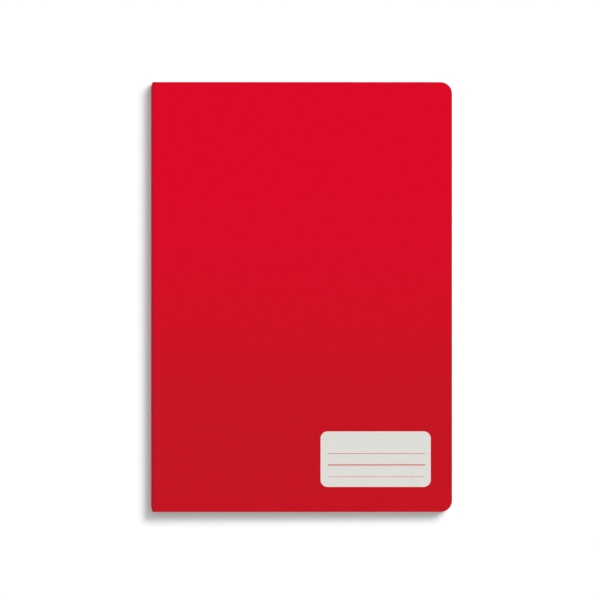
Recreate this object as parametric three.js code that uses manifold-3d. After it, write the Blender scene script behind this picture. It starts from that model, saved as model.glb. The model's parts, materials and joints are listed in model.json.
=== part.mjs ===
// A stapled school notebook, closed and lying on its back cover.
// Twelve sheets are folded one inside the other into a card cover. Two wire staples hold them through the
// fold.
// Millimetres. X runs from the spine to the fore-edge, Y from the foot of the page to its head, and Z up.
// The origin is under the middle of the notebook, on the surface that it lies on.
//
// Every sheet folds round one line, the hinge, which runs along Y at half the thickness of the spine.
// A thin cylinder round the hinge holds all that the staples clamp: the folds and the spine of the cover.
// What turns about the hinge lies outside it: the leaves and the two halves of the cover.
import * as THREE from "three";
import { mergeVertices } from "three/addons/utils/BufferGeometryUtils.js";
import Module from "manifold-3d";

// Sizes that can be set one by one.
const pageHeight = 297;
const coverWidth = 208;
const cornerRadius = 8;
const sheetCount = 12;
const paperThickness = 0.1;
const paperGap = 0.02;
const cardThickness = 0.3;

// The ends of the spine are pinched, so that the outline steps in there.
const pinchDepth = 0.85;
const pinchLength = 3.6;

// The staples, bent from round wire. The bend is the radius inside it.
const wireDiameter = 0.5;
const wireBend = 0.25;
const crownLength = 12;
const clinchLength = 4.3;
const stapleInset = 74;
const wireClearance = 0.05;

// What the staples clamp ends this far outside the spine, and what turns begins one clearance further out.
const clampMargin = 0.15;
const turnClearance = 0.1;

// The front cover turns on a crease, which lies above the card and this far from the hinge.
const stripWidth = 8;
const creaseGap = 0.2;

// Facets of half a turn of a fold, of a quarter turn at a corner or a bend, and of a whole turn of wire.
const foldFacets = 12;
const cornerFacets = 8;
const bendFacets = 3;
const wireFacets = 8;
const hingeFacets = 96;

// How far a cutting body reaches past what it cuts.
const overhang = 1;

// Worked out from the sizes above. Radii are measured from the hinge.
const sheetPitch = paperThickness + paperGap;
const wireRadius = wireDiameter / 2;
const foldInnerRadius = wireRadius + wireClearance;
const coverInnerRadius = foldInnerRadius + sheetCount * sheetPitch;
const coverOuterRadius = coverInnerRadius + cardThickness;
const clampRadius = coverOuterRadius + clampMargin;
const turnRadius = clampRadius + turnClearance;
const foreEdge = coverWidth - coverOuterRadius;
const crownX = -(coverOuterRadius + paperGap + wireRadius);
const creaseLift = (wireDiameter + turnClearance) / 2;

// The hinge stands where the box round the whole notebook, staples included, is centred on the origin.
const hingeX = -(foreEdge + crownX - wireRadius) / 2;
const hingeZ = coverOuterRadius;

// The front half leans down until its innermost leaf meets the back half at the fore-edge.
const closingAngle = Math.atan((2 * foldInnerRadius - paperGap) / foreEdge);

// The middles of the two staples, and the distance of each leg from its staple's middle.
const stapleHeights = { top: pageHeight / 2 - stapleInset, bottom: stapleInset - pageHeight / 2 };
const legOffset = (crownLength - wireDiameter) / 2;

const red = new THREE.MeshStandardMaterial({ color: 0xd20f26, roughness: 0.45, metalness: 0 });
const white = new THREE.MeshStandardMaterial({ color: 0xf4f3ee, roughness: 0.85, metalness: 0 });
const steel = new THREE.MeshStandardMaterial({ color: 0xb9bbbd, roughness: 0.3, metalness: 1 });

const wasm = await Module();
wasm.setup();

// A closed three.js geometry as a solid that can be joined and cut.
function solid(geometry) {
  const bare = geometry.clone();
  bare.deleteAttribute("normal");
  bare.deleteAttribute("uv");
  const merged = mergeVertices(bare, 1e-5);
  return new wasm.Manifold(
    new wasm.Mesh({
      numProp: 3,
      vertProperties: new Float32Array(merged.attributes.position.array),
      triVerts: new Uint32Array(merged.index.array),
    }),
  );
}

// A solid as a three.js geometry.
function geometryOf(body) {
  const mesh = body.getMesh();
  const geometry = new THREE.BufferGeometry();
  geometry.setAttribute("position", new THREE.BufferAttribute(new Float32Array(mesh.vertProperties), 3));
  geometry.setIndex(new THREE.BufferAttribute(new Uint32Array(mesh.triVerts), 1));
  geometry.computeVertexNormals();
  return geometry;
}

// A shape made as thick as depth. Three.js gives each of its arcs twice the curve segments.
function extruded(shape, depth, arcFacets) {
  const settings = { depth, bevelEnabled: false, curveSegments: arcFacets / 2 };
  return new THREE.ExtrudeGeometry(shape, settings);
}

// A section drawn in the XZ plane, made as long as the page along Y.
function alongPage(section, arcFacets) {
  const geometry = extruded(section, pageHeight, arcFacets);
  geometry.rotateX(Math.PI / 2);
  geometry.translate(0, pageHeight / 2, 0);
  return solid(geometry);
}

// A cylinder round the hinge, a little longer than the page.
function hingeCylinder(radius) {
  return solid(new THREE.CylinderGeometry(radius, radius, pageHeight + 2 * overhang, hingeFacets));
}

const clampZone = hingeCylinder(clampRadius);
const turnZone = hingeCylinder(turnRadius);

// The outline of a leaf or a cover panel from startX to the fore-edge, whose two corners are round.
function leafOutline(startX) {
  const top = pageHeight / 2;
  const outline = new THREE.Shape();
  outline.moveTo(startX, -top);
  outline.lineTo(foreEdge - cornerRadius, -top);
  outline.absarc(foreEdge - cornerRadius, cornerRadius - top, cornerRadius, -Math.PI / 2, 0, false);
  outline.lineTo(foreEdge, top - cornerRadius);
  outline.absarc(foreEdge - cornerRadius, top - cornerRadius, cornerRadius, 0, Math.PI / 2, false);
  outline.lineTo(startX, top);
  outline.closePath();
  return outline;
}

// A flat panel from startX to the fore-edge, with its lower face at height bottom above the hinge.
function panel(startX, bottom, thickness) {
  const geometry = extruded(leafOutline(startX), thickness, cornerFacets);
  geometry.translate(0, 0, bottom);
  return solid(geometry);
}

// One folded layer: half a ring open towards the fore-edge, with two straight legs.
function foldSection(innerRadius, outerRadius) {
  const section = new THREE.Shape();
  section.moveTo(clampRadius, -outerRadius);
  section.lineTo(0, -outerRadius);
  section.absarc(0, 0, outerRadius, -Math.PI / 2, Math.PI / 2, true);
  section.lineTo(clampRadius, outerRadius);
  section.lineTo(clampRadius, innerRadius);
  section.lineTo(0, innerRadius);
  section.absarc(0, 0, innerRadius, Math.PI / 2, -Math.PI / 2, false);
  section.lineTo(clampRadius, -innerRadius);
  section.closePath();
  return section;
}

// A wedge that cuts the spine back at the head of the page, or at the foot for side -1.
function pinchWedge(side) {
  const end = (side * pageHeight) / 2;
  const slope = pinchDepth / pinchLength;
  const spine = -coverOuterRadius;
  const wedge = new THREE.Shape();
  wedge.moveTo(spine + pinchDepth + slope * overhang, end + side * overhang);
  wedge.lineTo(spine - overhang, end + side * overhang);
  wedge.lineTo(spine - overhang, end - side * (pinchLength + overhang / slope));
  wedge.closePath();
  const height = 2 * (clampRadius + overhang);
  const geometry = extruded(wedge, height, 2);
  geometry.translate(0, 0, -height / 2);
  return solid(geometry);
}

// A hole through the spine for one leg of a staple.
function legHole(y) {
  const radius = wireRadius + wireClearance;
  const length = clampRadius + overhang;
  const geometry = new THREE.CylinderGeometry(radius, radius, length, wireFacets);
  geometry.rotateZ(Math.PI / 2);
  geometry.translate(-length / 2, y, 0);
  return solid(geometry);
}

const spineCuts = [pinchWedge(1), pinchWedge(-1)];
for (const y of Object.values(stapleHeights)) {
  spineCuts.push(legHole(y - legOffset), legHole(y + legOffset));
}

// One folded layer with its leg holes, trimmed to what the staples clamp.
function clampedFold(innerRadius, outerRadius) {
  let body = alongPage(foldSection(innerRadius, outerRadius), foldFacets).intersect(clampZone);
  for (const cut of spineCuts) {
    body = body.subtract(cut);
  }
  return geometryOf(body);
}

// The line of a staple's wire, whose steps are the points themselves.
class WireLine extends THREE.Curve {
  points = [];
  directions = [];

  addPoint(point, direction) {
    this.points.push(point);
    this.directions.push(direction);
  }

  // A quarter turn in place of the corner between two straight runs.
  addBend(corner, before, after) {
    const radius = wireBend + wireRadius;
    const centre = corner.clone().addScaledVector(before, -radius).addScaledVector(after, radius);
    for (let step = 0; step <= bendFacets; step++) {
      const turn = ((step / bendFacets) * Math.PI) / 2;
      const out = before.clone().multiplyScalar(Math.sin(turn)).addScaledVector(after, -Math.cos(turn));
      const along = before.clone().multiplyScalar(Math.cos(turn)).addScaledVector(after, Math.sin(turn));
      this.addPoint(centre.clone().addScaledVector(out, radius), along);
    }
  }

  getPointAt(share) {
    return this.points[Math.round(share * (this.points.length - 1))].clone();
  }

  getTangentAt(share) {
    return this.directions[Math.round(share * (this.points.length - 1))].clone();
  }
}

// A staple round its middle: a crown outside the spine, two legs through it, and ends bent together inside.
function stapleGeometry() {
  const stops = [
    new THREE.Vector3(0, legOffset - clinchLength, 0),
    new THREE.Vector3(0, legOffset, 0),
    new THREE.Vector3(crownX, legOffset, 0),
    new THREE.Vector3(crownX, -legOffset, 0),
    new THREE.Vector3(0, -legOffset, 0),
    new THREE.Vector3(0, clinchLength - legOffset, 0),
  ];
  const last = stops.length - 1;
  const direction = (i) => stops[i + 1].clone().sub(stops[i]).normalize();
  const line = new WireLine();
  line.addPoint(stops[0], direction(0));
  for (let i = 1; i < last; i++) {
    line.addBend(stops[i], direction(i - 1), direction(i));
  }
  line.addPoint(stops[last], direction(last - 1));
  const section = new THREE.Shape();
  section.absarc(0, 0, wireRadius, 0, 2 * Math.PI, false);
  return new THREE.ExtrudeGeometry(section, {
    steps: line.points.length - 1,
    curveSegments: wireFacets / 2,
    extrudePath: line,
  });
}

// The strip of the front cover between the bend at the spine and the crease.
function hingeStrip() {
  const strip = new THREE.Shape();
  strip.moveTo(0, coverInnerRadius);
  strip.lineTo(stripWidth, coverInnerRadius);
  strip.lineTo(stripWidth, coverOuterRadius);
  strip.lineTo(0, coverOuterRadius);
  strip.closePath();
  return geometryOf(alongPage(strip, 2).subtract(turnZone));
}

function named(name, geometry, material) {
  const mesh = new THREE.Mesh(geometry, material);
  mesh.name = name;
  return mesh;
}

const twoDigits = (number) => String(number).padStart(2, "0");

const notebook = new THREE.Group();
notebook.position.set(hingeX, 0, hingeZ);

const frontHalf = new THREE.Group();
frontHalf.rotation.y = closingAngle;
notebook.add(frontHalf);

// The cover is one folded card in reality. It is split where it bends.
notebook.add(named("cover_spine", clampedFold(coverInnerRadius, coverOuterRadius), red));
notebook.add(
  named("back_cover", geometryOf(panel(0, -coverOuterRadius, cardThickness).subtract(turnZone)), red),
);
frontHalf.add(named("cover_hinge_strip", hingeStrip(), red));
frontHalf.add(
  named("front_cover", geometryOf(panel(stripWidth + creaseGap, coverInnerRadius, cardThickness)), red),
);

// Sheet 1 is the outermost. It holds the first leaf and the last.
for (let sheet = 1; sheet <= sheetCount; sheet++) {
  const innerRadius = foldInnerRadius + (sheetCount - sheet) * sheetPitch;
  const outerRadius = innerRadius + paperThickness;
  const frontName = "leaf_" + twoDigits(sheet);
  const backName = "leaf_" + twoDigits(2 * sheetCount + 1 - sheet);
  notebook.add(named("sheet_fold_" + twoDigits(sheet), clampedFold(innerRadius, outerRadius), white));
  const frontLeaf = panel(0, innerRadius, paperThickness).subtract(turnZone);
  const backLeaf = panel(0, -outerRadius, paperThickness).subtract(turnZone);
  frontHalf.add(named(frontName, geometryOf(frontLeaf), white));
  notebook.add(named(backName, geometryOf(backLeaf), white));
}

for (const [place, y] of Object.entries(stapleHeights)) {
  const staple = named("staple_" + place, stapleGeometry(), steel);
  staple.position.y = y;
  notebook.add(staple);
}

export default notebook;
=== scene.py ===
"""A stapled school notebook: sheets of paper and card, folded at the spine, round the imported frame.

Metres. X runs from the spine to the fore-edge, Y from the foot of the page to its head, and Z up.
Every layer is a thin closed sheet. Its section is drawn round the hinge line, as the solids are:
half a ring at the spine, and a straight leaf on each side of it.
"""

import json
import math
from collections import namedtuple

import bmesh
import bpy
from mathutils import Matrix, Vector


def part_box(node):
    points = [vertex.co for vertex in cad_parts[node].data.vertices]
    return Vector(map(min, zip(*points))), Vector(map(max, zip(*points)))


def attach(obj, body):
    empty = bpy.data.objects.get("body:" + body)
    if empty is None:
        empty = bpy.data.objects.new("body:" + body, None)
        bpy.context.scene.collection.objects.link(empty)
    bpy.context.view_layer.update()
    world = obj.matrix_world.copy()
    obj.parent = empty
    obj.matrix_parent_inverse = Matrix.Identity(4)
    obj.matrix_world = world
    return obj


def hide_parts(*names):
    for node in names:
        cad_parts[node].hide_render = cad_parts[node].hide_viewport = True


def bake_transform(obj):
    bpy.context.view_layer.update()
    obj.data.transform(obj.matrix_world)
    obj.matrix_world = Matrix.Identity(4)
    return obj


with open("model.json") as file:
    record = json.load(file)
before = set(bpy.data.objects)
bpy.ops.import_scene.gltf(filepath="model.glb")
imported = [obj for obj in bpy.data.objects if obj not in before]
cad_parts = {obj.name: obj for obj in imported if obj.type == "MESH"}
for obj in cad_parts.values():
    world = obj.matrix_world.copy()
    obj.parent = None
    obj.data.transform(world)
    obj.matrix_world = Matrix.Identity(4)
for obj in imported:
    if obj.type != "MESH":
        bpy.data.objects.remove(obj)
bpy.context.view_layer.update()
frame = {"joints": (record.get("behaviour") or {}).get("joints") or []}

MM = 0.001
JOINTS = {joint["name"]: joint for joint in frame["joints"]}
HINGE = Vector(JOINTS["notebook_open"]["pos_m"])
CREASE = Vector(JOINTS["front_cover_open"]["pos_m"])

# The make-up of the notebook, as in the solids.
SHEETS = 12
LEAVES = 2 * SHEETS
CORNER_RADIUS = 8 * MM
PINCH_DEPTH = 0.85 * MM
PINCH_LENGTH = 3.6 * MM
CLINCH_LENGTH = 4.3 * MM
WIRE_BEND = 0.25 * MM
LEAF_GAP = 0.02 * MM

# How far from the hinge each layer has the close rows of its bend: the cover, and the sheets from the
# outermost to the middle one. Past its bend, each back leaf has close rows over a length of its own.
COVER_BEND_BACK = 7.0 * MM
SHEET_BEND_BACK = (7.2 * MM, 8.6 * MM)
SHEET_BEND_FRONT = (8.0 * MM, 12.0 * MM)
LEAF_LIFT = 25 * MM

# The front cover starts this far before its crease, and has close rows until this far past it.
CREASE_START = 0.3 * MM
CREASE_END = 1.2 * MM

# The cut ends of the staples taper over a share of the wire's radius, to a share of its thickness.
TAPER_LENGTH = 0.6
TAPER_END = 0.55

# The name label on the front cover, from the hinge line and from the middle of the page.
LABEL_LEFT = 115.1 * MM
LABEL_RIGHT = 191.2 * MM
LABEL_TOP = -92.85 * MM
LABEL_BOTTOM = -131.2 * MM
LABEL_RADIUS = 4.9 * MM
RULE_LEFT = 120.1 * MM
RULE_RIGHT = 187.25 * MM
# Each rule's height, width and colour, from the upper one down.
RULES = (
    (-108.15 * MM, 0.52 * MM, (222, 129, 126)),
    (-116.0 * MM, 0.94 * MM, (214, 131, 115)),
    (-124.1 * MM, 0.40 * MM, (226, 136, 138)),
)

# The red turns from its colour at the foot to that at the head between these heights, from the middle
# of the page, darker towards the foot. It turns paler on the fold of the spine, between these distances
# past the straight part.
RED_RAMP_HEIGHTS = (-106.92 * MM, 89.1 * MM)
PALER_RIDGE_SPAN = (0.1 * MM, 1.6 * MM)

# The ruling of the pages, from the left edge and the middle of the page. The ruled field reaches
# a little past its first and last line, which are then drawn whole.
SQUARE = 2 * MM
HEAVY_EVERY = 4
MARGIN = 25 * MM
RULED_TOP = 128 * MM
RULED_BOTTOM = -136 * MM
RULED_REACH = 0.2 * MM
LINE_WIDTH = 0.15 * MM
HEAVY_WIDTH = 0.2 * MM
MARGIN_WIDTH = 0.34 * MM

# Colours, in 0 to 255.
# The red at the foot is darker than the red at the head.
RED_AT_FOOT = (200.5, 22.3, 34.7)
RED_AT_HEAD = (224.5, 10.5, 39.4)
# The red along the ridge of the spine, paler than the rest.
RED_ON_RIDGE = (242.1, 55.7, 86.5)
LABEL_STOCK = (227.1, 225.4, 220.1)
BOARD = (233, 231, 224)
BOARD_EDGE = (214, 200, 195)
PAPER_FACE = (242, 242, 239)
PAPER_CUT = (221, 220, 214)
LINE_BLUE = (178, 217, 237)
HEAVY_BLUE = (60, 158, 212)
MARGIN_BLUE = (86, 172, 217)
STEEL = (205, 207, 210)

# How uneven the surfaces are: the size of a feature, and the share by which it lightens and darkens
# the colour. The flecks of the label follow the grain of the print.
Grain = namedtuple("Grain", "size strength")
PRINT_GRAIN = Grain(0.9 * MM, 0.14)
PRINT_CLOUD = Grain(8 * MM, 0.03)
LABEL_FLECK = 0.24
BOARD_FIBRE = Grain(0.9 * MM, 0.03)
BOARD_CLOUD = Grain(25 * MM, 0.015)
EDGE_STREAK = Grain(0.5 * MM, 0.06)
PAPER_FIBRE = Grain(0.7 * MM, 0.012)
PAPER_CLOUD = Grain(12 * MM, 0.01)
WIRE_SCRATCH = Grain(0.15 * MM, 0.08)

# The height of the bumps, and how many times higher the clouds of the print are than its grain.
PRINT_BUMP = 0.004 * MM
CLOUD_HEIGHT = 3.0
BOARD_BUMP = 0.006 * MM
PAPER_BUMP = 0.004 * MM

# The roughness of the surfaces, and how it varies with the grain, on the label and with the scratches.
PRINT_ROUGHNESS = 0.7
GRAIN_ROUGHNESS = 0.05
LABEL_ROUGHNESS = 0.15
BOARD_ROUGHNESS = 0.85
PAPER_ROUGHNESS = 0.9
WIRE_ROUGHNESS = 0.3
SCRATCH_ROUGHNESS = 0.1

# How strongly the surfaces mirror, on the shader's own scale.
PRINT_SPECULAR = 0.01
PAPER_SPECULAR = 0.05
WIRE_SPECULAR = 0.5

# The photo: the notebook's edges in its pixels, and the lens.
PHOTO_SIZE = 600
SPINE_PX = 151.3
FORE_EDGE_PX = 451.8
HEAD_PX = 81.95
FOOT_PX = 512.05
LENS = 100
SENSOR = 36

# The light: an even sky, and a soft bright patch low in it at the upper right, cut off at its lower
# rim. Together they light a level surface at LEVEL. The floor reflects little light on the notebook,
# and the camera sees it brighter, so that it is just white away from the shadow.
LEVEL = 0.95
SKY = 0.417
PATCH = 96.1
PATCH_FOCUS = 23
PATCH_SIDE = Vector((1, 1, 0)).normalized()
PATCH_HEIGHT = math.radians(5)
PATCH_RIM = (0.25, 0.28)
FLOOR_COLOUR = 0.4
FLOOR_SEEN = 1.02 / LEVEL
FLOOR_REACH = 4.0

# Facets of a quarter turn, of a bend, of the flat part of a leaf and of a round corner, rows along a
# pinched end and along the rest of half a page, and sides of the wire. An edge that turns by more than
# SHARP isn't smoothed.
FACETS = 10
BEND_STEPS = 16
FLAT_STEPS = 3
CORNER_STEPS = 10
PINCH_STEPS = 4
PAGE_STEPS = 4
WIRE_SIDES = 16
SHARP = math.radians(30)

# Worked out from the sizes above and from the solids. Radii are measured from the hinge.
BACK_LOW, BACK_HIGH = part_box("back_cover")
HALF_HEIGHT = BACK_HIGH.y
FORE_EDGE = BACK_HIGH.x - HINGE.x
COVER_OUTER = HINGE.z - BACK_LOW.z
COVER_INNER = HINGE.z - BACK_HIGH.z
FOLD_RADIUS = HINGE.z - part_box(f"leaf_{SHEETS + 1:02d}")[1].z
LEAN = math.atan((2 * FOLD_RADIUS - LEAF_GAP) / FORE_EDGE)


# Sections. A station is a place on the middle line of a layer: its point and its outward direction in
# the XZ plane, its distance from the hinge along the leaf (negative on the fold), and the half of the
# notebook that it lies on, 1 in front of the hinge and -1 behind it.

Station = namedtuple("Station", "x z out_x out_z along half")


def straight(radius, half, distances):
    """Stations along the straight part of a layer. The front half leans down to the fore-edge."""
    lean = LEAN if half > 0 else 0
    out_x, out_z = math.sin(lean), half * math.cos(lean)
    stations = []
    for along in distances:
        x = radius * out_x + along * math.cos(lean)
        z = radius * out_z - along * math.sin(lean)
        stations.append(Station(x, z, out_x, out_z, along, half))
    return stations


def arc(radius, half):
    """Stations on a quarter of the fold, from the spine's ridge to the straight part, without its end."""
    lean = LEAN if half > 0 else 0
    turn = math.pi / 2 + lean
    stations = []
    for i in range(FACETS):
        share = i / FACETS
        angle = math.pi - half * turn * share
        out_x, out_z = math.cos(angle), math.sin(angle)
        along = -radius * turn * (1 - share)
        stations.append(Station(radius * out_x, radius * out_z, out_x, out_z, along, half))
    return stations


def steps_between(start, end, count):
    return [start + (end - start) * i / count for i in range(count + 1)]


def to_fore_edge(start):
    """Distances from start to the fore-edge, closer together round the corner."""
    corner = FORE_EDGE - CORNER_RADIUS
    turns = steps_between(0, math.pi / 2, CORNER_STEPS)
    round_corner = [corner + CORNER_RADIUS * math.sin(turn) for turn in turns]
    return steps_between(start, corner, FLAT_STEPS)[:-1] + round_corner


def half_height(along):
    """Half the height of a leaf at a distance from the hinge, less round the corners."""
    inside = along - (FORE_EDGE - CORNER_RADIUS)
    if inside <= 0:
        return HALF_HEIGHT
    return HALF_HEIGHT - CORNER_RADIUS + math.sqrt(max(CORNER_RADIUS**2 - inside**2, 0))


def row_shares():
    """Places of the rows along the page, from -1 at its foot to 1 at its head, closer at the ends."""
    from_end = steps_between(0, PINCH_LENGTH, PINCH_STEPS)
    from_end += steps_between(PINCH_LENGTH, HALF_HEIGHT, PAGE_STEPS)[1:]
    upper = [1 - distance / HALF_HEIGHT for distance in from_end]
    return [-share for share in upper[:-1]] + upper[::-1]


ROWS = row_shares()


def pinch(y):
    """How much of the fold's depth is left at a height: less at the two ends of the spine."""
    from_end = HALF_HEIGHT - abs(y)
    return 1 - PINCH_DEPTH / COVER_OUTER * max(1 - from_end / PINCH_LENGTH, 0)


def place(at, offset, share):
    """A vertex of a layer: its station, its distance outward from the middle line, and its row."""
    y = share * half_height(at.along)
    x = at.x + offset * at.out_x
    z = at.z + offset * at.out_z
    if x < 0:
        x *= pinch(y)
    return (HINGE.x + x, y, HINGE.z + z)


def page_place(at, half, outside, share):
    """UV of a vertex: its distance from the left edge of the page it lies on, and its height, in metres."""
    right_hand_page = outside == (half > 0)
    left = at.along if right_hand_page else FORE_EDGE - at.along
    return (left, share * half_height(at.along))


def layer(name, stations, thickness, materials):
    """A closed thin sheet through the stations. Materials are those of its outside, inside and edge."""
    mesh = bpy.data.meshes.new(name)
    shell = bmesh.new()
    uv = shell.loops.layers.uv.new("page")
    grid = {}
    for i, at in enumerate(stations):
        for j, share in enumerate(ROWS):
            for side in (1, -1):
                grid[i, j, side] = shell.verts.new(place(at, side * thickness / 2, share))
    last_i, last_j = len(stations) - 1, len(ROWS) - 1

    def add(corners, side, slot):
        face = shell.faces.new([grid[corner] for corner in corners])
        face.material_index = slot
        face.smooth = True
        half = stations[corners[0][0]].half
        for loop, (i, j, _) in zip(face.loops, corners):
            loop[uv].uv = page_place(stations[i], half, side > 0, ROWS[j])

    for i in range(last_i):
        for j in range(last_j):
            for side, slot in ((1, 0), (-1, 1)):
                add([(i, j, side), (i + 1, j, side), (i + 1, j + 1, side), (i, j + 1, side)], side, slot)
        for j in (0, last_j):
            add([(i, j, 1), (i + 1, j, 1), (i + 1, j, -1), (i, j, -1)], 1, 2)
    for j in range(last_j):
        for i in (0, last_i):
            add([(i, j, 1), (i, j + 1, 1), (i, j + 1, -1), (i, j, -1)], 1, 2)
    bmesh.ops.recalc_face_normals(shell, faces=shell.faces)
    for edge in shell.edges:
        edge.smooth = edge.calc_face_angle() < SHARP
    shell.to_mesh(mesh)
    shell.free()
    for material in materials:
        mesh.materials.append(material)
    return in_scene(name, mesh)


def in_scene(name, data):
    """A new object in the scene, with the data that it shows."""
    piece = bpy.data.objects.new(name, data)
    bpy.context.scene.collection.objects.link(piece)
    return piece


def stands_for(piece, slot, *nodes):
    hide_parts(*nodes)


# Nodes of materials and of the world.


class Nodes:
    """A node tree, with short calls that add to it."""

    def __init__(self, tree):
        self.tree = tree

    def new(self, kind, **settings):
        node = self.tree.nodes.new(kind)
        for key, value in settings.items():
            setattr(node, key, value)
        return node

    def link(self, source, socket):
        """Feed a socket with another socket, a number or a colour."""
        if isinstance(source, bpy.types.NodeSocket):
            self.tree.links.new(source, socket)
        elif socket.type == "VECTOR":
            socket.default_value = source[:3]
        else:
            socket.default_value = source

    def feed(self, node, *sources):
        """Feed the first sockets of a node, in their order."""
        for source, socket in zip(sources, node.inputs):
            self.link(source, socket)
        return node

    def math(self, operation, *values):
        return self.feed(self.new("ShaderNodeMath", operation=operation), *values).outputs[0]

    def mix(self, share, a, b):
        """A colour between two. Only the identifiers of a Mix node tell its colours from its numbers."""
        node = self.new("ShaderNodeMix", data_type="RGBA")
        sockets = {socket.identifier: socket for socket in (*node.inputs, *node.outputs)}
        self.link(share, sockets["Factor_Float"])
        self.link(a, sockets["A_Color"])
        self.link(b, sockets["B_Color"])
        return sockets["Result_Color"]

    def scaled(self, colour, factor):
        node = self.feed(self.new("ShaderNodeVectorMath", operation="SCALE"), colour)
        self.link(factor, node.inputs["Scale"])
        return node.outputs[0]

    def ramp(self, value, low, high):
        """A smooth step of value from 0 at low to 1 at high."""
        node = self.new("ShaderNodeMapRange", interpolation_type="SMOOTHSTEP")
        return self.feed(node, value, low, high).outputs[0]

    def split(self, vector):
        return self.feed(self.new("ShaderNodeSeparateXYZ"), vector).outputs

    def camera_sees(self):
        """1 for what the camera sees, straight or in a mirror."""
        path = self.new("ShaderNodeLightPath")
        seen = path.outputs["Is Camera Ray"]
        for kind in ("Is Glossy Ray", "Is Transmission Ray"):
            seen = self.math("MAXIMUM", seen, path.outputs[kind])
        return seen


class Surface(Nodes):
    """A new material of the notebook."""

    def __init__(self, name):
        self.material = bpy.data.materials.new(name)
        self.material.use_nodes = True
        super().__init__(self.material.node_tree)
        self.shader = self.tree.nodes["Principled BSDF"]

    def page_uv(self):
        return self.new("ShaderNodeUVMap", uv_map="page").outputs[0]

    def page(self):
        """Distance from the left edge of the page, and height from its middle."""
        return self.split(self.page_uv())[:2]

    def noise(self, size, detail=2.0, stretch=(1, 1, 1), where=None):
        """Noise with features of a size, from -1 to 1 about its mean."""
        mapping = self.feed(self.new("ShaderNodeMapping"), where or self.page_uv())
        mapping.inputs["Scale"].default_value = stretch
        node = self.feed(self.new("ShaderNodeTexNoise"), mapping.outputs[0])
        node.inputs["Scale"].default_value = 1 / size
        node.inputs["Detail"].default_value = detail
        return self.math("MULTIPLY_ADD", node.outputs[0], 2.0, -1.0)

    def near_line(self, value, pitch, width):
        """1 on lines of a width, a pitch apart, of which one is at 0."""
        return self.math("LESS_THAN", self.math("PINGPONG", value, pitch / 2), width / 2)

    def uneven(self, colour, *parts):
        """The colour made lighter and darker by parts, each a noise and its strength."""
        factor = 1.0
        for noise, strength in parts:
            factor = self.math("MULTIPLY_ADD", noise, strength, factor)
        return self.scaled(colour, factor)

    def bump(self, height, distance):
        node = self.new("ShaderNodeBump")
        node.inputs["Distance"].default_value = distance
        self.link(height, node.inputs["Height"])
        self.link(node.outputs[0], self.shader.inputs["Normal"])

    def finish(self, colour, roughness, specular, metallic=0.0):
        self.link(colour, self.shader.inputs["Base Color"])
        self.link(roughness, self.shader.inputs["Roughness"])
        self.shader.inputs["Specular IOR Level"].default_value = specular
        self.shader.inputs["Metallic"].default_value = metallic
        return self.material


def linear(colour):
    """A colour given in 0 to 255, as the shader takes it."""

    def channel(value):
        value /= 255
        return value / 12.92 if value <= 0.04045 else ((value + 0.055) / 1.055) ** 2.4

    return (*map(channel, colour), 1.0)


def grey(level):
    return (level, level, level, 1.0)


# Materials.


def label_mask(nodes, x, y):
    """1 inside the rounded rectangle of the name label."""
    centre = ((LABEL_LEFT + LABEL_RIGHT) / 2, (LABEL_TOP + LABEL_BOTTOM) / 2)
    half = ((LABEL_RIGHT - LABEL_LEFT) / 2, (LABEL_TOP - LABEL_BOTTOM) / 2)
    squares = []
    for value, middle, reach in zip((x, y), centre, half):
        from_middle = nodes.math("ABSOLUTE", nodes.math("SUBTRACT", value, middle))
        past = nodes.math("MAXIMUM", nodes.math("SUBTRACT", from_middle, reach - LABEL_RADIUS), 0.0)
        squares.append(nodes.math("MULTIPLY", past, past))
    return nodes.math("LESS_THAN", nodes.math("ADD", *squares), LABEL_RADIUS**2)


def with_rules(nodes, x, y, stock):
    """The stock of the name label with its three rules."""
    past_left = nodes.math("GREATER_THAN", x, RULE_LEFT)
    before_right = nodes.math("LESS_THAN", x, RULE_RIGHT)
    in_reach = nodes.math("MULTIPLY", past_left, before_right)
    for height, width, colour in RULES:
        away = nodes.math("ABSOLUTE", nodes.math("SUBTRACT", y, height))
        on_rule = nodes.math("MULTIPLY", in_reach, nodes.math("LESS_THAN", away, width / 2))
        stock = nodes.mix(on_rule, stock, linear(colour))
    return stock


def paler_ridge_mask(nodes, x):
    """1 along the ridge of the spine, past the edge of the page, where the red is drawn paler."""
    front = nodes.ramp(nodes.math("MULTIPLY", x, -1.0), *PALER_RIDGE_SPAN)
    back = nodes.ramp(nodes.math("SUBTRACT", x, FORE_EDGE), *PALER_RIDGE_SPAN)
    return nodes.math("ADD", front, back)


def printed_card(name, with_label):
    """Red print on card, darker towards the foot of the cover and paler along the ridge of the spine, with
    a bare name label on the front.
    """
    nodes = Surface(name)
    x, y = nodes.page()
    # Darker towards the foot, lighter towards the head.
    red = nodes.mix(nodes.ramp(y, *RED_RAMP_HEIGHTS), linear(RED_AT_FOOT), linear(RED_AT_HEAD))
    # Paler along the ridge of the spine.
    red = nodes.mix(paler_ridge_mask(nodes, x), red, linear(RED_ON_RIDGE))
    grain = nodes.noise(PRINT_GRAIN.size, detail=3.0)
    cloud = nodes.noise(PRINT_CLOUD.size, detail=3.0)
    colour = nodes.uneven(red, (grain, PRINT_GRAIN.strength), (cloud, PRINT_CLOUD.strength))
    roughness = nodes.math("MULTIPLY_ADD", grain, GRAIN_ROUGHNESS, PRINT_ROUGHNESS)
    if with_label:
        stock = nodes.uneven(linear(LABEL_STOCK), (grain, LABEL_FLECK))
        mask = label_mask(nodes, x, y)
        colour = nodes.mix(mask, colour, with_rules(nodes, x, y, stock))
        roughness = nodes.math("MULTIPLY_ADD", mask, LABEL_ROUGHNESS, roughness)
    nodes.bump(nodes.math("MULTIPLY_ADD", cloud, CLOUD_HEIGHT, grain), PRINT_BUMP)
    return nodes.finish(colour, roughness, PRINT_SPECULAR)


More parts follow.
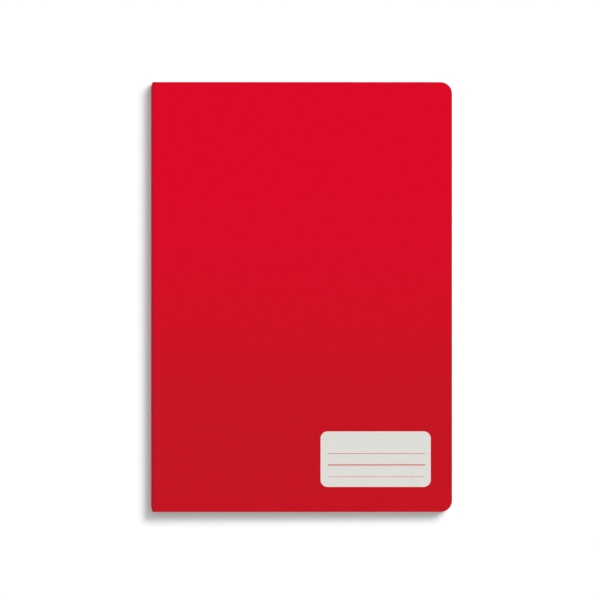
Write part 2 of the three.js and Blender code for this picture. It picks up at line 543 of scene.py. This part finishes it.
def card_inside():
    """The unprinted inside of the cover: off-white board with short fibres."""
    nodes = Surface("card_inside")
    fibre = nodes.noise(BOARD_FIBRE.size, detail=4.0, stretch=(0.35, 1, 1))
    cloud = nodes.noise(BOARD_CLOUD.size)
    colour = nodes.uneven(linear(BOARD), (cloud, BOARD_CLOUD.strength), (fibre, BOARD_FIBRE.strength))
    nodes.bump(fibre, BOARD_BUMP)
    return nodes.finish(colour, BOARD_ROUGHNESS, PAPER_SPECULAR)


def cut_edge(name, colour):
    """The cut edge of paper or card, with faint streaks along it."""
    nodes = Surface(name)
    streak = nodes.noise(EDGE_STREAK.size, stretch=(0.2, 0.2, 1))
    streaked = nodes.uneven(linear(colour), (streak, EDGE_STREAK.strength))
    return nodes.finish(streaked, PAPER_ROUGHNESS, PAPER_SPECULAR)


def ruled_paper():
    """White writing paper with a blue grid, heavier every fourth line, and a margin line at the left."""
    nodes = Surface("ruled_paper")
    x, y = nodes.page()
    fibre = nodes.noise(PAPER_FIBRE.size, detail=4.0)
    cloud = nodes.noise(PAPER_CLOUD.size)
    paper = nodes.uneven(linear(PAPER_FACE), (cloud, PAPER_CLOUD.strength), (fibre, PAPER_FIBRE.strength))
    past_margin = nodes.math("SUBTRACT", x, MARGIN)
    right_of_margin = nodes.math("GREATER_THAN", past_margin, 0.0)
    below_top = nodes.math("LESS_THAN", y, RULED_TOP + RULED_REACH)
    above_bottom = nodes.math("GREATER_THAN", y, RULED_BOTTOM - RULED_REACH)
    ruled = nodes.math("MULTIPLY", below_top, above_bottom)

    def grid(pitch, width):
        rows = nodes.near_line(nodes.math("SUBTRACT", y, RULED_TOP), pitch, width)
        columns = nodes.math("MULTIPLY", nodes.near_line(past_margin, pitch, width), right_of_margin)
        return nodes.math("MULTIPLY", nodes.math("MAXIMUM", rows, columns), ruled)

    margin_line = nodes.math("LESS_THAN", nodes.math("ABSOLUTE", past_margin), MARGIN_WIDTH / 2)
    colour = nodes.mix(grid(SQUARE, LINE_WIDTH), paper, linear(LINE_BLUE))
    colour = nodes.mix(grid(HEAVY_EVERY * SQUARE, HEAVY_WIDTH), colour, linear(HEAVY_BLUE))
    colour = nodes.mix(margin_line, colour, linear(MARGIN_BLUE))
    nodes.bump(fibre, PAPER_BUMP)
    return nodes.finish(colour, PAPER_ROUGHNESS, PAPER_SPECULAR)


def staple_wire():
    """Bright galvanised wire, drawn lengthwise."""
    nodes = Surface("staple_wire")
    on_wire = nodes.new("ShaderNodeTexCoord").outputs["Object"]
    scratch = nodes.noise(WIRE_SCRATCH.size, detail=3.0, stretch=(1, 0.12, 1), where=on_wire)
    colour = nodes.uneven(linear(STEEL), (scratch, WIRE_SCRATCH.strength))
    roughness = nodes.math("MULTIPLY_ADD", scratch, SCRATCH_ROUGHNESS, WIRE_ROUGHNESS)
    return nodes.finish(colour, roughness, WIRE_SPECULAR, metallic=1.0)


PRINT = printed_card("printed_card", with_label=False)
LABELLED = printed_card("printed_card_with_label", with_label=True)
INSIDE = card_inside()
CARD_EDGE = cut_edge("card_edge", BOARD_EDGE)
PAPER = ruled_paper()
PAPER_EDGE = cut_edge("paper_edge", PAPER_CUT)
WIRE = staple_wire()


# Pieces.


def between(pair, share):
    return pair[0] + (pair[1] - pair[0]) * share


def make_sheet(sheet):
    """The fold of a sheet, its front leaf and its back leaf. Sheet 1 is the outermost."""
    front, back = f"leaf_{sheet:02d}", f"leaf_{LEAVES + 1 - sheet:02d}"
    fold = f"sheet_fold_{sheet:02d}"
    low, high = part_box(back)
    radius, thickness = HINGE.z - (low.z + high.z) / 2, high.z - low.z
    inward = (sheet - 1) / (SHEETS - 1)
    back_bend, front_bend = between(SHEET_BEND_BACK, inward), between(SHEET_BEND_FRONT, inward)
    paper = (PAPER, PAPER, PAPER_EDGE)

    behind = straight(radius, -1, steps_between(back_bend, 0, BEND_STEPS))
    stations = behind + arc(radius, -1)[:0:-1] + arc(radius, 1) + straight(radius, 1, [0])
    piece = layer("folded_" + fold, stations, thickness, paper)
    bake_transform(piece)
    stands_for(piece, "paper", fold)

    distances = steps_between(0, front_bend, BEND_STEPS)[:-1] + to_fore_edge(front_bend)
    piece = layer("paper_" + front, straight(radius, 1, distances), thickness, paper)
    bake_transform(piece)
    stands_for(piece, "paper", front)

    lifted = back_bend + LEAF_LIFT
    distances = steps_between(back_bend, lifted, BEND_STEPS)[:-1] + to_fore_edge(lifted)
    piece = layer("paper_" + back, straight(radius, -1, distances), thickness, paper)
    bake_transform(piece)
    stands_for(piece, "paper", back)


def make_cover():
    """The card in three pieces: back and spine, the strip next to the spine, and the front."""
    radius, thickness = (COVER_OUTER + COVER_INNER) / 2, COVER_OUTER - COVER_INNER
    card = (PRINT, INSIDE, CARD_EDGE)
    crease = (CREASE.x - HINGE.x) / math.cos(LEAN)
    start, end = crease - CREASE_START, crease + CREASE_END

    behind = steps_between(0, COVER_BEND_BACK, BEND_STEPS)[:-1] + to_fore_edge(COVER_BEND_BACK)
    stations = straight(radius, -1, behind[::-1]) + arc(radius, -1)[:0:-1] + arc(radius, 1)
    stations += straight(radius, 1, [0])
    piece = layer("card_back_and_spine", stations, thickness, card)
    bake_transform(piece)
    stands_for(piece, "cover_card", "back_cover", "cover_spine")

    strip = steps_between(0, start, BEND_STEPS)
    piece = layer("card_strip", straight(radius, 1, strip), thickness, card)
    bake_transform(piece)
    stands_for(piece, "cover_card", "cover_hinge_strip")

    distances = steps_between(start, end, 2 * BEND_STEPS)[:-1] + to_fore_edge(end)
    labelled_card = (LABELLED, INSIDE, CARD_EDGE)
    piece = layer("card_front", straight(radius, 1, distances), thickness, labelled_card)
    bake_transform(piece)
    stands_for(piece, "cover_card", "front_cover")


def wire_line(low, high):
    """Points and directions along a staple's wire, seen from above, with a quarter turn at each corner."""
    radius = (high.z - low.z) / 2
    inside, crown = high.x - radius, low.x + radius
    foot, head = low.y + radius, high.y - radius
    stops = [(inside, head + radius - CLINCH_LENGTH), (inside, head), (crown, head), (crown, foot)]
    stops += [(inside, foot), (inside, foot - radius + CLINCH_LENGTH)]
    stops = [Vector(stop) for stop in stops]
    bend = WIRE_BEND + radius
    line = [(stops[0], (stops[1] - stops[0]).normalized())]
    for before, corner, after in zip(stops, stops[1:], stops[2:]):
        into, out = (corner - before).normalized(), (after - corner).normalized()
        centre = corner - bend * into + bend * out
        for turn in steps_between(0, math.pi / 2, FACETS):
            point = centre + bend * (math.sin(turn) * into - math.cos(turn) * out)
            line.append((point, math.cos(turn) * into + math.sin(turn) * out))
    line.append((stops[-1], line[-1][1]))
    return line, radius


def tapered(line, radius):
    """The points and directions of a wire's rings, each with its share of the thickness."""
    rings = [(point, way, 1.0) for point, way in line]
    first, first_way = line[0]
    last, last_way = line[-1]
    length = TAPER_LENGTH * radius
    rings[0] = (first + length * first_way, first_way, 1.0)
    rings[-1] = (last - length * last_way, last_way, 1.0)
    return [(first, first_way, TAPER_END), *rings, (last, last_way, TAPER_END)]


def make_staple(node):
    """A staple as round wire, with its cut ends tapered."""
    low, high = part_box(node)
    line, radius = wire_line(low, high)
    tube = bmesh.new()
    loops = []
    for point, way, share in tapered(line, radius):
        middle = Vector((point.x, point.y, HINGE.z))
        side = Vector((-way.y, way.x, 0))
        loop = []
        for k in range(WIRE_SIDES):
            angle = 2 * math.pi * k / WIRE_SIDES
            out = math.cos(angle) * side + Vector((0, 0, math.sin(angle)))
            loop.append(tube.verts.new(middle + share * radius * out))
        loops.append(loop)
    for a, b in zip(loops, loops[1:]):
        for k in range(WIRE_SIDES):
            n = (k + 1) % WIRE_SIDES
            tube.faces.new((a[k], a[n], b[n], b[k])).smooth = True
    tube.faces.new(loops[0])
    tube.faces.new(loops[-1])
    bmesh.ops.recalc_face_normals(tube, faces=tube.faces)
    mesh = bpy.data.meshes.new("wire_" + node)
    tube.to_mesh(mesh)
    tube.free()
    mesh.materials.append(WIRE)
    piece = in_scene("wire_" + node, mesh)
    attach(piece, "spine")
    stands_for(piece, "staple_wire", node)


# Camera, light and floor.


def make_camera():
    """Straight above the notebook, with its edges where the photo has them."""
    data = bpy.data.cameras.new("camera")
    data.lens = LENS
    data.sensor_width = SENSOR
    pixel = 2 * HALF_HEIGHT / (FOOT_PX - HEAD_PX)
    middle_x = HINGE.x + (FORE_EDGE - COVER_OUTER) / 2
    across_px = (SPINE_PX + FORE_EDGE_PX - PHOTO_SIZE) / 2
    down_px = (HEAD_PX + FOOT_PX - PHOTO_SIZE) / 2
    distance = PHOTO_SIZE * pixel * LENS / SENSOR
    camera = in_scene("camera", data)
    camera.location = (middle_x - across_px * pixel, down_px * pixel, 2 * COVER_OUTER + distance)
    bpy.context.scene.camera = camera


def make_world():
    """White to the camera. As a light it is an even sky with a bright patch."""
    world = bpy.data.worlds.new("studio")
    bpy.context.scene.world = world
    world.use_nodes = True
    nodes = Nodes(world.node_tree)
    direction = nodes.new("ShaderNodeTexCoord").outputs["Generated"]
    above_rim = nodes.ramp(nodes.split(direction)["Z"], *PATCH_RIM)
    patch_way = math.cos(PATCH_HEIGHT) * PATCH_SIDE + Vector((0, 0, math.sin(PATCH_HEIGHT)))
    towards = nodes.feed(nodes.new("ShaderNodeVectorMath", operation="DOT_PRODUCT"), direction, patch_way)
    patch = nodes.math("POWER", nodes.math("MAXIMUM", towards.outputs["Value"], 0.0), PATCH_FOCUS)
    patch = nodes.math("MULTIPLY", patch, above_rim)
    light = nodes.math("MULTIPLY_ADD", patch, PATCH, SKY)
    strength = nodes.feed(nodes.new("ShaderNodeMix"), nodes.camera_sees())
    nodes.link(light, strength.inputs["A"])
    nodes.link(1.0, strength.inputs["B"])
    background = world.node_tree.nodes["Background"]
    nodes.link(strength.outputs["Result"], background.inputs["Strength"])
    nodes.link(grey(1.0), background.inputs["Color"])


def make_floor():
    """A white floor that keeps the shadow, and that the camera sees brighter than it lights the rest."""
    corners = [(-FLOOR_REACH, -FLOOR_REACH, 0), (FLOOR_REACH, -FLOOR_REACH, 0)]
    corners += [(FLOOR_REACH, FLOOR_REACH, 0), (-FLOOR_REACH, FLOOR_REACH, 0)]
    mesh = bpy.data.meshes.new("floor")
    mesh.from_pydata(corners, [], [(0, 1, 2, 3)])
    material = bpy.data.materials.new("floor")
    material.use_nodes = True
    nodes = Nodes(material.node_tree)
    nodes.tree.nodes.clear()
    colour = nodes.mix(nodes.camera_sees(), grey(FLOOR_COLOUR), grey(FLOOR_SEEN))
    diffuse = nodes.feed(nodes.new("ShaderNodeBsdfDiffuse"), colour)
    nodes.feed(nodes.new("ShaderNodeOutputMaterial"), diffuse.outputs[0])
    mesh.materials.append(material)
    in_scene("floor", mesh)


make_camera()
make_world()
make_floor()
make_cover()
for number in range(1, SHEETS + 1):
    make_sheet(number)
for staple in ("staple_top", "staple_bottom"):
    make_staple(staple)
bpy.context.scene.view_settings.view_transform = "Standard"
